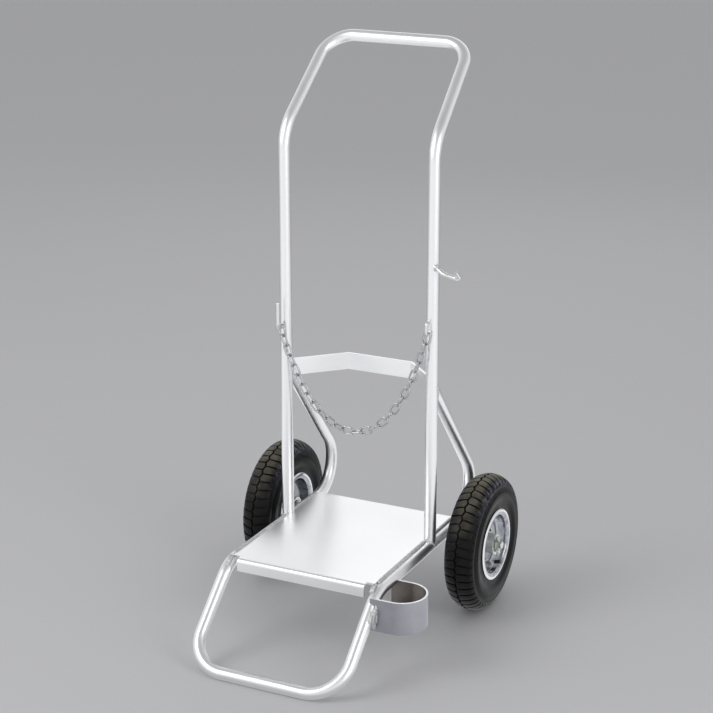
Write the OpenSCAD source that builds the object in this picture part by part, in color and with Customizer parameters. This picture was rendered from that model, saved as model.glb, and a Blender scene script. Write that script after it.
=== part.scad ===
// Oxy acetylene torch cart: a bent tube frame on two pneumatic wheels, for a pair of gas cylinders.
// X is the cart's width, the foot bar lies toward -Y, and Z is up from the floor.
// The pieces are drawn with the two uprights at y = 0 and the cart's middle plane at x = 0, and the
// whole cart is then moved along Y, so that the origin is the middle of its box on the floor.

/* [Frame tube] */
// Outside diameter of the frame tube
tube_d = 25.4; // [24:0.1:28]
// Wall of the frame tube
tube_wall = 3; // [2:0.1:4]
// Distance between the centrelines of the two side tubes
side_spacing = 332; // [310:1:360]

/* [Handle] */
// Height at which the uprights start to lean back
handle_bend_z = 1012; // [900:1:1100]
// Height of the top bar's centreline
handle_top_z = 1180; // [1150:1:1250]
// Distance of the top bar behind the uprights
handle_back = 194; // [150:1:230]
// Width between the centrelines at the top corners
handle_top_w = 314; // [290:1:340]
// Bend radius where the uprights lean back
lean_bend_r = 90; // [60:1:120]
// Bend radius of the two top corners
corner_bend_r = 60; // [50:1:80]

/* [Base] */
// Distance of the foot bar ahead of the uprights
foot_front = 428; // [400:1:460]
// Distance of the rails' front bends ahead of the uprights
rail_front = 259; // [240:1:290]
// Bend radius between rail and front leg
leg_bend_r = 76; // [50:1:100]
// Bend radius of the two foot corners
foot_bend_r = 76; // [60:1:100]
// Distance of the knees behind the uprights
knee_back = 206; // [190:1:240]
// Bend radius of the knees
knee_bend_r = 75; // [60:1:85]
// Slope of the braces from the floor, in degrees
brace_slope = 50; // [44:1:56]

/* [Platform] */
// Thickness of the platform plate
plate_t = 4; // [2:0.5:6]
// Distance of the plate's side edges inside the rails' centrelines
plate_inset = 7; // [4:0.5:11]
// Distance of the plate's front edge ahead of the uprights
plate_front = 267; // [250:1:280]
// Distance of the plate's rear edge behind the uprights
plate_back = 128; // [100:1:130]
// Height of the folded front lip, plate included
lip_h = 26; // [15:1:40]
// Gap between each end of the front lip and the leg tube
lip_gap = 11; // [3:1:20]
// Inside radius of the lip's fold
fold_r = 4; // [1:0.5:8]
// Depth of the corner notches beside the lip
notch_d = 16; // [10:1:30]

/* [Cradle bar] */
// Height of the cradle bar's middle line
cradle_z = 506; // [480:1:530]
// Height of the flat bar
cradle_h = 36; // [25:1:45]
// Thickness of the flat bar
cradle_t = 5; // [3:0.5:8]
// Length of the straight middle stretch
cradle_flat = 144; // [120:1:180]
// Distance of the middle stretch behind the uprights
cradle_back = 103; // [80:1:115]

/* [Chain] */
// Wire diameter of a chain link
link_wire = 4; // [3:0.1:4.4]
// Inside length of a chain link
link_inner = 22.3; // [18:0.1:26]
// Inside width of a chain link
link_gap = 10; // [9.5:0.1:12]
// Number of links, always odd so that both end links hang alike
link_count = 27; // [25:2:31]
// Play between neighbouring links
link_slack = 0.5; // [0.4:0.1:0.8]
// Distance of the chain ahead of the uprights' axes
chain_front = 24; // [23:0.5:30]

/* [Hooks and eye] */
// Rod diameter of the chain hook and the hose hook
hook_rod_d = 7.5; // [6:0.5:8]
// Height of the chain hook's level arm
hook_z = 603; // [560:1:640]
// Height of the chain hook's finger above its arm
hook_finger = 54; // [30:1:60]
// Bend radius of the chain hook
hook_bend_r = 12; // [11:0.5:16]
// Wire diameter of the chain eye
eye_wire = 5; // [4:0.1:6]
// Height of the chain eye's centre
eye_z = 645.5; // [600:0.5:690]
// Length of the chain eye's straight sides
eye_straight = 10; // [4:1:20]
// Height at which the hose hook leaves the upright
hose_hook_z = 773; // [700:1:850]
// Reach of the hose hook from the upright's axis
hose_hook_reach = 66; // [58:1:80]
// Drop of the hose hook below its root
hose_hook_drop = 23; // [15:1:35]
// Height of the hose hook's upturned end
hose_hook_tip = 22; // [15:1:35]
// Lean of the hose hook's end to the front
hose_hook_lean = 20; // [10:1:25]
// Distance of the hose hook ahead of the upright's axis
hose_hook_front = 14; // [8:0.5:16]

/* [Rod cup] */
// Outside width of the cup along the rail
cup_w = 104; // [80:1:120]
// Height of the cup's band
cup_h = 68; // [40:1:90]
// Thickness of the cup's band
cup_t = 4; // [2:0.1:5]
// Distance of the cup's middle ahead of the uprights
cup_front = 237; // [220:1:250]
// Reach of the cup from the side tube's centreline
cup_reach = 97; // [80:1:120]
// Distance of the cup's rim below the platform's top
cup_below = 14; // [10:1:20]

/* [Wheels] */
// Outside diameter of the tyres
tyre_d = 292; // [280:1:310]
// Width of the tyres
tyre_w = 72; // [70:1:80]
// Distance of each wheel's middle plane from the cart's middle
wheel_x = 237; // [232:1:260]
// Distance of the axle behind the uprights
axle_back = 112; // [100:1:120]
// Number of tread blocks in each row
tread_blocks = 48; // [24:1:60]
// Depth of the tread grooves
tread_depth = 3; // [1:0.5:4]
// Diameter of the rims over their flanges
flange_d = 154; // [150:1:158]
// Thickness of the pressed rim sheet
rim_t = 2.5; // [1.5:0.1:3]
// Pitch circle diameter of the rim bolts
bolt_circle = 66; // [62:1:70]
// Diameter of the rim bolts
bolt_d = 8; // [6:0.5:8]

/* [Axle and bearings] */
// Diameter of the axle
axle_d = 16; // [15:0.1:17]
// Outside diameter of the axle tube
axle_tube_d = 22; // [21:0.1:26]
// Length of each hub
hub_len = 64; // [56:1:70]
// Outside diameter of the bearings
bearing_d = 35; // [34:0.1:38]
// Width of the bearings
bearing_w = 11; // [10:0.5:13]
// Diameter of the bearing balls
ball_d = 6; // [5:0.1:6.4]
// Thickness of the axle washers
washer_t = 2.5; // [1.5:0.1:3]
// Diameter of the split pins
pin_d = 4; // [3:0.1:5]

/* [Hidden] */

$fn = 64;

// Clearances
weld_gap = 0.1;       // welded pieces stand this far apart, and the bead fills the gap
fit_gap = 0.05;       // running fit of bearings and axle, on the radius
seat_gap = 0.3;       // pieces that rest on each other without a fit
lap = 0.5;            // how far a straight stretch reaches into the bend beside it
swell = 0.05;         // how much fuller a bend is drawn than its straights

// Frame
tube_r = tube_d / 2;
side_x = side_spacing / 2;
axle_tube_r = axle_tube_d / 2;
saddle_depth = 1.5;   // how deep the axle tube is coped to sit under the rails
axle_z = tyre_d / 2;
rail_z = axle_z + axle_tube_r + tube_r - saddle_depth;
mouth_trim = 3;       // the uprights' fish mouths are trimmed flat this far above the rails' axes
brace_reach = knee_bend_r * tan(90 - brace_slope / 2);
knee_y = knee_back - knee_bend_r + brace_reach;
brace_z = rail_z + knee_y * tan(brace_slope);
foot_z = tube_r + swell;
centre_y = (foot_front + tube_r - max(axle_back + tyre_d / 2, knee_back + tube_r)) / 2;
leg_turn = atan2(rail_z - foot_z, foot_front - rail_front);
rail_y0 = -rail_front + leg_bend_r * tan(leg_turn / 2);
rail_y1 = knee_back - knee_bend_r;

// Platform
plate_half = side_x - plate_inset;
plate_z = rail_z + sqrt(tube_r * tube_r - plate_inset * plate_inset) + weld_gap;
plate_top = plate_z + plate_t;
lip_half = side_x - tube_r - lip_gap;

// Chain, hung between the centre of the hook's rod and the centre of the eye's wire
hook_r = hook_rod_d / 2;
eye_r = chain_front - tube_r - eye_wire / 2 + 0.2;
link_bend = (link_gap + link_wire) / 2;
link_lead = (link_inner - link_gap) / 2;
link_pitch = link_inner - link_slack;
hook_lead = link_lead + link_gap / 2 - hook_r - link_slack;
eye_lead = link_lead + link_gap / 2 - eye_wire / 2 - link_slack;
chain_length = hook_lead + (link_count - 1) * link_pitch + eye_lead;
chain_from = [-side_x, hook_z];
chain_to = [side_x, eye_z - eye_straight / 2 - eye_r];
chain_span = chain_to[0] - chain_from[0];
chain_rise = chain_to[1] - chain_from[1];
slack_ratio = sqrt(chain_length * chain_length - chain_rise * chain_rise) / chain_span;
half_turn = catenary_turn(slack_ratio, 0.01, 6, 40);
chain_a = chain_span / (2 * half_turn);
chain_low = chain_span / 2 - chain_a * asinh(chain_rise / (2 * chain_a * sinh(half_turn)));

// Rod cup
cup_r = cup_w / 2;
cup_x = side_x + cup_reach - cup_r;
cup_top = plate_top - cup_below;
cup_floor_t = 3;
cup_floor_up = 2;     // height of the floor above the band's lower edge

// Axle line
axle_r = axle_d / 2;
hub_half = hub_len / 2;
washer_r = 12.4;
washer_in = wheel_x - hub_half - seat_gap - washer_t;
washer_out = wheel_x + hub_half + seat_gap;
pin_x = washer_out + washer_t + pin_d / 2 + 0.8;
axle_end = pin_x + pin_d / 2 + 6.5;
axle_tube_end = washer_in - seat_gap;
pin_ring_r = 4.5;
pin_wire_r = 1.4;

// Wheel, drawn about Z with its outer side upward
tyre_r = tyre_d / 2;
flange_r = flange_d / 2;
flange_z = 34;        // height of each flange's outer face from the wheel's middle plane
flange_curl = 4;      // mean radius of the curl between bead seat and flange
bead_r = 63.5;        // radius of the bead seats
split_z = 6;          // height where the two rim halves meet
rim_hole_r = 21.2;    // centre hole of the rim halves
hub_r = 21;
hub_bore_r = 14;
hub_flange_r = 46;
hub_flange_t = 3.2;
bowl_r = 8;           // mean radius of the fold between each rim half's disc and wall
wall_t = 7;           // thickness of the tyre's wall
side_r = 30;          // radius of the tyre's side walls
side_z = tyre_w / 2 - side_r;
side_at = (tyre_r + bead_r) / 2;
crown_r = 42;         // radius of the tyre's crown across the tread
crown_turn = 36;      // half the angle of the crown, where the shoulders begin
shoulder_r = 18;      // radius of the shoulders
shoulder_at = tyre_r - crown_r + (crown_r - shoulder_r) * cos(crown_turn);
shoulder_z = (crown_r - shoulder_r) * sin(crown_turn);
groove_w = 5;         // width of the groove round the tread's middle
sipe_w = 3.5;         // width of the cuts between the tread blocks
line_r = 1.2;         // radius of the raised line round each side wall
tube_room = 3;        // gap between the inner tube and the tyre's side walls
inner_tube_r = tyre_w / 2 - wall_t - tube_room;
inner_tube_t = 2;
inner_tube_at = side_at - 2;
valve_angle = 18;     // the valve's place round the wheel
valve_r = 4;
valve_z = 17;
valve_foot_r = flange_z - rim_t - wall_t - valve_z - 2 * seat_gap;
slot_len = 22;        // length of the valve slot round the rim
slot_w = 12;
bolt_r = bolt_d / 2;
bolt_head_h = 5.3;
bolt_flats = 13;
bolt_grip = 2 * rim_t + hub_flange_t;
nut_h = 6.5;

// Bearings
ball_circle_r = (bearing_d / 2 + axle_r) / 2;
land_gap = 1.5;       // half the gap between the lands of a bearing's two rings
ball_count = 9;
bearing_step = 3;     // how deep each bearing's face lies inside the hub's end

function unit(v) = v / norm(v);
function sinh(x) = (exp(x) - exp(-x)) / 2;
function cosh(x) = (exp(x) + exp(-x)) / 2;
function asinh(x) = ln(x + sqrt(x * x + 1));

// Half the horizontal span over the catenary's parameter, by bisection
function catenary_turn(ratio, lo, hi, steps) =
    let (mid = (lo + hi) / 2)
    steps == 0 ? mid
    : sinh(mid) / mid < ratio ? catenary_turn(ratio, mid, hi, steps - 1)
    : catenary_turn(ratio, lo, mid, steps - 1);

// Point of the hanging chain, as [x, z], at an arc length from its hook end
function chain_point(s) =
    let (start = chain_low / chain_a, u = asinh(s / chain_a - sinh(start)))
    [chain_from[0] + chain_low + chain_a * u, chain_from[1] + chain_a * (cosh(u) - cosh(start))];

// Arc length at which link j meets the one before it
function joint_arc(j) = j == 0 ? 0 : j == link_count ? chain_length : hook_lead + (j - 0.5) * link_pitch;

function mirrored(p) = [-p[0], p[1], p[2]];

// Turn of a path at its vertex i, and the length that a bend of radius r takes off each side of it
function turn(p, i) = acos(unit(p[i] - p[i - 1]) * unit(p[i + 1] - p[i]));
function reach(p, i, r) = i == 0 || i == len(p) - 1 ? 0 : r * tan(turn(p, i) / 2);

// Direction from vertex i's incoming side toward the centre of its bend
function inward(p, i) =
    let (u = unit(p[i] - p[i - 1]), v = unit(p[i + 1] - p[i]))
    unit(v - (u * v) * u);

// Roll about the tube's own axis from the plane of bend i to the plane of the next one
function roll(p, i) = i + 2 >= len(p) ? 0 :
    let (u = unit(p[i] - p[i - 1]), v = unit(p[i + 1] - p[i]))
    let (old = unit((u * v) * v - u), new = inward(p, i + 1))
    atan2(cross(old, new) * v, old * new);

module tube_section(r, wall) {
    difference() {
        circle(r = r);
        if (wall > 0) circle(r = r - wall);
    }
}

// The rest of a bent tube from its segment i on, drawn as a tube bender makes it: feed, bend, roll
module bend_run(p, radii, r, wall, i = 0) {
    more = i + 2 < len(p);
    bend_before = i > 0 ? reach(p, i, radii[i - 1]) : 0;
    bend_after = more ? reach(p, i + 1, radii[i]) : 0;
    feed = norm(p[i + 1] - p[i]) - bend_before - bend_after;
    from = i > 0 ? -lap : 0;
    to = more ? feed + lap : feed;
    translate([0, 0, from]) linear_extrude(to - from) tube_section(r, wall);
    if (more) {
        translate([radii[i], 0, feed]) {
            rotate([90, 0, 180]) rotate_extrude(angle = turn(p, i + 1)) translate([radii[i], 0])
                tube_section(r + swell, wall > 0 ? wall + 2 * swell : 0);
            rotate([0, turn(p, i + 1), 0]) translate([-radii[i], 0, 0]) rotate([0, 0, roll(p, i + 1)])
                bend_run(p, radii, r, wall, i + 1);
        }
    }
}

// A tube or rod through the points p, with one bend radius for each inner point; wall 0 is a solid rod
module bent_tube(p, radii, r, wall = 0) {
    z = unit(p[1] - p[0]);
    x = inward(p, 1);
    y = cross(z, x);
    rows = [for (k = [0:2]) [x[k], y[k], z[k], p[0][k]]];
    multmatrix([rows[0], rows[1], rows[2], [0, 0, 0, 1]]) bend_run(p, radii, r, wall);
}

module both_sides() {
    children();
    mirror([1, 0, 0]) children();
}

module along_x(x0, x1) {
    translate([x0, 0, 0]) rotate([90, 0, 90]) linear_extrude(x1 - x0) children();
}

// Solids that fill the side tubes, for coping what is welded to them
module rail_core(gap) {
    both_sides() translate([side_x, rail_y1, rail_z]) rotate([90, 0, 0])
        cylinder(h = rail_y1 - rail_y0, r = tube_r + gap);
}

module upright_core(gap) {
    both_sides() translate([side_x, 0, rail_z]) cylinder(h = handle_bend_z - rail_z, r = tube_r + gap);
}

module leg_core(gap) {
    run = norm([foot_front - rail_front, rail_z - foot_z]);
    both_sides() translate([side_x, -rail_front, rail_z]) rotate([90 + leg_turn, 0, 0])
        cylinder(h = run, r = tube_r + gap);
}

module brace_core(gap) {
    both_sides() translate([side_x, 0, brace_z]) rotate([-90 - brace_slope, 0, 0])
        cylinder(h = knee_y / cos(brace_slope) - brace_reach, r = tube_r + gap);
}

// One tube from foot to foot: upright, lean, top bar and back
module handle_tube() {
    foot = [side_x, 0, rail_z + mouth_trim];
    lean = [side_x, 0, handle_bend_z];
    corner = [handle_top_w / 2, handle_back, handle_top_z];
    path = [foot, lean, corner, mirrored(corner), mirrored(lean), mirrored(foot)];
    color("silver") difference() {
        bent_tube(path, [lean_bend_r, corner_bend_r, corner_bend_r, lean_bend_r], tube_r, tube_wall);
        rail_core(weld_gap);
    }
}

// One tube from brace to brace: brace, knee, rail, front leg, foot bar and back
module base_tube() {
    brace = [side_x, 0, brace_z];
    knee = [side_x, knee_y, rail_z];
    rail = [side_x, -rail_front, rail_z];
    foot = [side_x, -foot_front, foot_z];
    path = [brace, knee, rail, foot, mirrored(foot), mirrored(rail), mirrored(knee), mirrored(brace)];
    radii = [knee_bend_r, leg_bend_r, foot_bend_r, foot_bend_r, leg_bend_r, knee_bend_r];
    color("silver") difference() {
        bent_tube(path, radii, tube_r, tube_wall);
        upright_core(weld_gap);
    }
}

// Section of the plate and its folded lip, with the cart's Y to the right
module plate_section() {
    fold = fold_r + plate_t;
    translate([-plate_front + fold, plate_z]) square([plate_front + plate_back - fold, plate_t]);
    translate([-plate_front, plate_top - lip_h]) square([plate_t, lip_h - fold]);
    translate([-plate_front + fold, plate_top - fold]) intersection() {
        difference() {
            circle(r = fold);
            circle(r = fold_r);
        }
        translate([-fold, 0]) square(fold);
    }
}

module platform_plate() {
    color("whitesmoke") difference() {
        along_x(-plate_half, plate_half) plate_section();
        both_sides() translate([lip_half, -plate_front - 1, plate_top - lip_h - 1])
            cube([side_x, notch_d + 1, lip_h + 2]);
        upright_core(weld_gap);
    }
}

// Flat bar with two bends, its ends coped round the uprights and the braces
module cradle_bar() {
    corner = cradle_flat / 2;
    end_y = cradle_back + corner - side_x;
    miter = cradle_t * tan(22.5);
    outline = [
        [-corner, cradle_back], [corner, cradle_back], [side_x, end_y], [side_x, end_y + cradle_t * sqrt(2)],
        [corner + miter, cradle_back + cradle_t], [-corner - miter, cradle_back + cradle_t],
        [-side_x, end_y + cradle_t * sqrt(2)], [-side_x, end_y]
    ];
    color("whitesmoke") difference() {
        translate([0, 0, cradle_z - cradle_h / 2]) linear_extrude(cradle_h) polygon(outline);
        upright_core(weld_gap);
        brace_core(weld_gap);
    }
}

module chain_hook() {
    arm = chain_front + hook_bend_r;
    path = [[-side_x, -tube_r / 2, hook_z], [-side_x, -arm, hook_z], [-side_x, -arm, hook_z + hook_finger]];
    color("gainsboro") difference() {
        bent_tube(path, [hook_bend_r], hook_r);
        upright_core(weld_gap);
    }
}

module chain_eye() {
    color("gainsboro") difference() {
        translate([side_x, -chain_front, eye_z]) rotate([0, 0, 90])
            oval_ring(eye_r, eye_straight / 2, eye_wire / 2);
        upright_core(weld_gap);
    }
}

// Rod that slopes down from the upright, flattens and turns up and forward at its end
module hose_hook() {
    shank = 38;
    shank_fall = 8;
    bend_x = side_x + hose_hook_reach;
    bend_z = hose_hook_z - hose_hook_drop;
    path = [
        [side_x, -tube_r / 2, hose_hook_z], [bend_x - shank, -hose_hook_front, bend_z + shank_fall],
        [bend_x, -hose_hook_front, bend_z],
        [bend_x - hook_r, -hose_hook_front - hose_hook_lean, bend_z + hose_hook_tip]
    ];
    color("gainsboro") difference() {
        bent_tube(path, [2 * hook_bend_r, hook_bend_r], hook_r);
        upright_core(weld_gap);
    }
}

// Band from the rail out round the cup and back, seen from above
module cup_ring() {
    translate([cup_x, -cup_front]) intersection() {
        difference() {
            circle(r = cup_r);
            circle(r = cup_r - cup_t);
        }
        translate([0, -cup_r]) square([cup_r, cup_w]);
    }
    for (y = [-cup_front - cup_r, -cup_front + cup_r - cup_t])
        translate([side_x, y]) square([cup_x - side_x, cup_t]);
}

module rod_cup_band() {
    color("darkgray") difference() {
        translate([0, 0, cup_top - cup_h]) linear_extrude(cup_h) cup_ring();
        rail_core(weld_gap);
        leg_core(weld_gap);
    }
}

module rod_cup_floor() {
    room = cup_r - cup_t - weld_gap;
    color("darkgray") translate([0, 0, cup_top - cup_h + cup_floor_up]) linear_extrude(cup_floor_t) union() {
        translate([cup_x, -cup_front]) circle(r = room);
        translate([side_x, -cup_front - room]) square([cup_x - side_x, 2 * room]);
    }
}

module axle_tube() {
    color("silver") difference() {
        translate([0, axle_back, axle_z]) along_x(-axle_tube_end, axle_tube_end) difference() {
            circle(r = axle_tube_r);
            circle(r = axle_r + 4 * fit_gap);
        }
        rail_core(weld_gap);
    }
}

module axle() {
    chamfer = 1;
    color("lightgray") difference() {
        translate([0, axle_back, axle_z]) union() {
            along_x(chamfer - axle_end, axle_end - chamfer) circle(r = axle_r);
            both_sides() translate([axle_end - chamfer, 0, 0]) rotate([0, 90, 0])
                cylinder(h = chamfer, r1 = axle_r, r2 = axle_r - chamfer);
        }
        both_sides() translate([pin_x, axle_back, axle_z - axle_r - 1])
            cylinder(h = axle_d + 2, r = pin_d / 2 + fit_gap);
    }
}

module axle_washers() {
    color("gainsboro") both_sides() translate([0, axle_back, axle_z])
        for (x = [washer_in, washer_out]) along_x(x, x + washer_t) difference() {
            circle(r = washer_r);
            circle(r = axle_r + fit_gap);
        }
}

// Each pin has an eye above the axle and two legs spread below it
module split_pins() {
    leg = 9;
    color("gainsboro") both_sides() translate([pin_x, axle_back, axle_z]) union() {
        translate([0, 0, -axle_r - 2]) cylinder(h = axle_d + 4, r = pin_d / 2);
        translate([0, 0, axle_r + 2 + pin_ring_r]) rotate([0, 90, 0]) rotate_extrude()
            translate([pin_ring_r, 0]) circle(r = pin_wire_r);
        for (side = [-1, 1])
            bent_tube([[0, 0, -axle_r - 1], [0, side * 0.4, -axle_r - 4], [0, side * leg, -axle_r - 7]],
                [2.4], pin_wire_r);
    }
}

// Long ring of wire about the origin, its straight sides along Z and its opening across X
module oval_ring(bend, half, wire_r) {
    for (side = [-bend, bend]) translate([side, 0, -half - lap]) cylinder(h = 2 * (half + lap), r = wire_r);
    for (end = [0, 180]) rotate([0, end, 0]) translate([0, 0, half]) rotate([90, 0, 0])
        rotate_extrude(angle = 180) translate([bend, 0]) circle(r = wire_r + swell);
}

module chain_links() {
    color("gainsboro") for (i = [0 : link_count - 1]) {
        from = chain_point(joint_arc(i));
        step = unit(chain_point(joint_arc(i + 1)) - from);
        middle = from + (i == 0 ? hook_lead : link_pitch / 2) * step;
        translate([middle[0], -chain_front, middle[1]]) rotate([0, atan2(step[0], step[1]), 0])
            rotate([0, 0, 90 * (i % 2)]) oval_ring(link_bend, link_lead, link_wire / 2);
    }
}

// Moves a piece drawn about Z to a wheel's place, its upper side outward
module at_wheel(side) {
    mirror([side == "left" ? 1 : 0, 0, 0]) translate([wheel_x, axle_back, axle_z]) rotate([0, 90, 0])
        children();
}

// Section of the tyre without its beads: crown, shoulders and side walls, all as arcs
module tyre_section(inset) {
    crown_half = (crown_r - inset) * sin(crown_turn);
    intersection() {
        translate([tyre_r - crown_r, 0]) circle(r = crown_r - inset);
        translate([side_at, -crown_half]) square([tyre_r, 2 * crown_half]);
    }
    for (side = [-1, 1]) {
        translate([shoulder_at, side * shoulder_z]) circle(r = shoulder_r - inset);
        translate([side_at, side * side_z]) circle(r = side_r - inset);
    }
    translate([side_at - 5, -side_z]) square([side_r - inset, 2 * side_z]);
}

// Raised line that runs round both side walls above the rim
module rim_lines() {
    turn = 50;
    for (side = [-1, 1])
        translate([side_at - side_r * sin(turn), side * (side_z + side_r * cos(turn))]) circle(r = line_r);
}

// Outline of the tyre's two beads, which follow the curls of the rim halves
module bead_section() {
    curl_at = bead_r + flange_curl;
    curl_z = flange_z - rim_t - flange_curl;
    round_r = flange_curl - seat_gap;
    translate([bead_r + seat_gap, -curl_z]) square([side_at - bead_r, 2 * curl_z]);
    translate([curl_at, -curl_z - round_r]) square([side_at - curl_at, 2 * (curl_z + round_r)]);
    for (z = [-curl_z, curl_z]) translate([curl_at, z]) circle(r = round_r);
}

// Cuts between the tread blocks, their floors along the crown's chord, in two staggered rows
module sipes() {
    for (i = [0 : tread_blocks - 1], half = [0, 1])
        rotate([0, 0, (i + half / 2) * 360 / tread_blocks]) mirror([0, 0, half])
            translate([tyre_r - tread_depth, -sipe_w / 2, 0]) rotate([0, crown_turn / 2, 0])
                cube([crown_r, sipe_w, tyre_w / 2]);
}

module tyre() {
    cavity = flange_z - rim_t - seat_gap - wall_t;
    color("#262422") difference() {
        rotate_extrude() difference() {
            union() {
                tyre_section(0);
                bead_section();
                rim_lines();
            }
            tyre_section(wall_t);
            translate([bead_r - 1, -cavity]) square([side_at - bead_r, 2 * cavity]);
            translate([tyre_r - tread_depth, -groove_w / 2]) square([tread_depth + 1, groove_w]);
        }
        sipes();
    }
}

module inner_tube() {
    color("dimgray") rotate_extrude() translate([inner_tube_at, 0]) difference() {
        circle(r = inner_tube_r);
        circle(r = inner_tube_r - inner_tube_t);
    }
}

// Stem from the inner tube through the slot in the outer rim half, bent outward to its cap
module valve() {
    elbow = bead_r - 11;
    stem = [[inner_tube_at, 0, valve_z], [elbow, 0, valve_z], [elbow - 5, 0, valve_z + 20]];
    color("dimgray") rotate([0, 0, valve_angle]) difference() {
        union() {
            bent_tube(stem, [8], valve_r);
            translate([bead_r + 5, 0, valve_z]) rotate([0, 90, 0]) cylinder(h = 5, r = valve_foot_r);
        }
        rotate_extrude() translate([inner_tube_at, 0]) circle(r = inner_tube_r + weld_gap);
    }
}

// Section of one rim half above its disc: disc, bowl, bead seat and flange
module rim_section(disc_z) {
    seat_in = bead_r - rim_t;
    wall_z = disc_z + rim_t + bowl_r;
    curl_z = flange_z - rim_t - flange_curl;
    translate([rim_hole_r, disc_z]) square([seat_in - bowl_r - rim_hole_r, rim_t]);
    translate([seat_in - bowl_r, wall_z]) fold_arc(bowl_r, [0, -1]);
    translate([seat_in, wall_z]) square([rim_t, curl_z - wall_z]);
    translate([bead_r + flange_curl, curl_z]) fold_arc(flange_curl, [-1, 0]);
    translate([bead_r + flange_curl, flange_z - rim_t]) square([flange_r - bead_r - flange_curl, rim_t]);
}

// Quarter ring of folded sheet with inside radius r, lying in the quadrant that starts at side
module fold_arc(r, side) {
    intersection() {
        difference() {
            circle(r = r + rim_t);
            circle(r = r);
        }
        translate((r + rim_t) * side) square(r + rim_t);
    }
}

module bolt_holes(r) {
    for (i = [0:3]) rotate([0, 0, 45 + 90 * i]) translate([bolt_circle / 2, 0, -flange_z])
        cylinder(h = 2 * flange_z, r = r);
}

module outer_rim() {
    color("lightgray") difference() {
        rotate_extrude() rim_section(split_z);
        bolt_holes(bolt_r + seat_gap);
        rotate([0, 0, valve_angle]) translate([bead_r - 3 * rim_t, -slot_len / 2, valve_z - slot_w / 2])
            cube([6 * rim_t, slot_len, slot_w]);
    }
}

module inner_rim() {
    color("lightgray") difference() {
        mirror([0, 0, 1]) rotate_extrude() rim_section(-split_z);
        bolt_holes(bolt_r + seat_gap);
    }
}

module bolt_places() {
    for (i = [0:3]) rotate([0, 0, 45 + 90 * i]) translate([bolt_circle / 2, 0, split_z + rim_t]) children();
}

module hexagon(flats) {
    circle(d = flats / cos(30), $fn = 6);
}

module rim_bolts() {
    color("gainsboro") bolt_places() union() {
        linear_extrude(bolt_head_h) hexagon(bolt_flats);
        translate([0, 0, -bolt_grip - nut_h - 3]) cylinder(h = bolt_grip + nut_h + 3, r = bolt_r);
    }
}

module rim_nuts() {
    color("gainsboro") bolt_places() translate([0, 0, -bolt_grip - nut_h]) linear_extrude(nut_h)
        difference() {
            hexagon(bolt_flats);
            circle(r = bolt_r + fit_gap);
        }
}

module hub() {
    shoulder = hub_half - bearing_step - bearing_w;
    color("silver") difference() {
        union() {
            translate([0, 0, -hub_half]) cylinder(h = hub_len, r = hub_r);
            translate([0, 0, split_z - rim_t - hub_flange_t]) cylinder(h = hub_flange_t, r = hub_flange_r);
        }
        translate([0, 0, -hub_half - 1]) cylinder(h = hub_len + 2, r = hub_bore_r);
        for (end = [0, 1]) mirror([0, 0, end]) translate([0, 0, shoulder])
            cylinder(h = hub_half, r = bearing_d / 2 + fit_gap);
        bolt_holes(bolt_r + seat_gap);
    }
}

module bearing_places() {
    for (end = [0, 1]) mirror([0, 0, end])
        translate([0, 0, hub_half - bearing_step - bearing_w / 2]) children();
}

module ball_groove() {
    rotate_extrude() translate([ball_circle_r, 0]) circle(d = ball_d + 4 * fit_gap);
}

module bearing_outers() {
    color("gainsboro") bearing_places() difference() {
        cylinder(h = bearing_w, r = bearing_d / 2, center = true);
        cylinder(h = bearing_w + 1, r = ball_circle_r + land_gap, center = true);
        ball_groove();
    }
}

module bearing_inners() {
    color("gainsboro") bearing_places() difference() {
        cylinder(h = bearing_w, r = ball_circle_r - land_gap, center = true);
        cylinder(h = bearing_w + 1, r = axle_r + fit_gap, center = true);
        ball_groove();
    }
}

module bearing_balls() {
    color("white") bearing_places() for (i = [0 : ball_count - 1])
        rotate([0, 0, 360 / ball_count * i]) translate([ball_circle_r, 0, 0]) sphere(d = ball_d);
}

// Moves a finished piece so that the origin is the middle of the cart's box on the floor
module placed() {
    translate([0, centre_y, 0]) children();
}

placed() handle_tube();
placed() base_tube();
placed() platform_plate();
placed() cradle_bar();
placed() chain_hook();
placed() chain_eye();
placed() hose_hook();
placed() rod_cup_band();
placed() rod_cup_floor();
placed() axle_tube();
placed() axle();
placed() axle_washers();
placed() split_pins();
placed() chain_links();
for (side = ["left", "right"]) {
    placed() at_wheel(side) tyre();
    placed() at_wheel(side) inner_tube();
    placed() at_wheel(side) valve();
    placed() at_wheel(side) outer_rim();
    placed() at_wheel(side) inner_rim();
    placed() at_wheel(side) rim_bolts();
    placed() at_wheel(side) rim_nuts();
    placed() at_wheel(side) hub();
    placed() at_wheel(side) bearing_outers();
    placed() at_wheel(side) bearing_balls();
    placed() at_wheel(side) bearing_inners();
}
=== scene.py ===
"""Looks of a two-wheeled cart for gas cylinders: finishes, tubes, weld beads, tyres, rims and studio."""
import math

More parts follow.
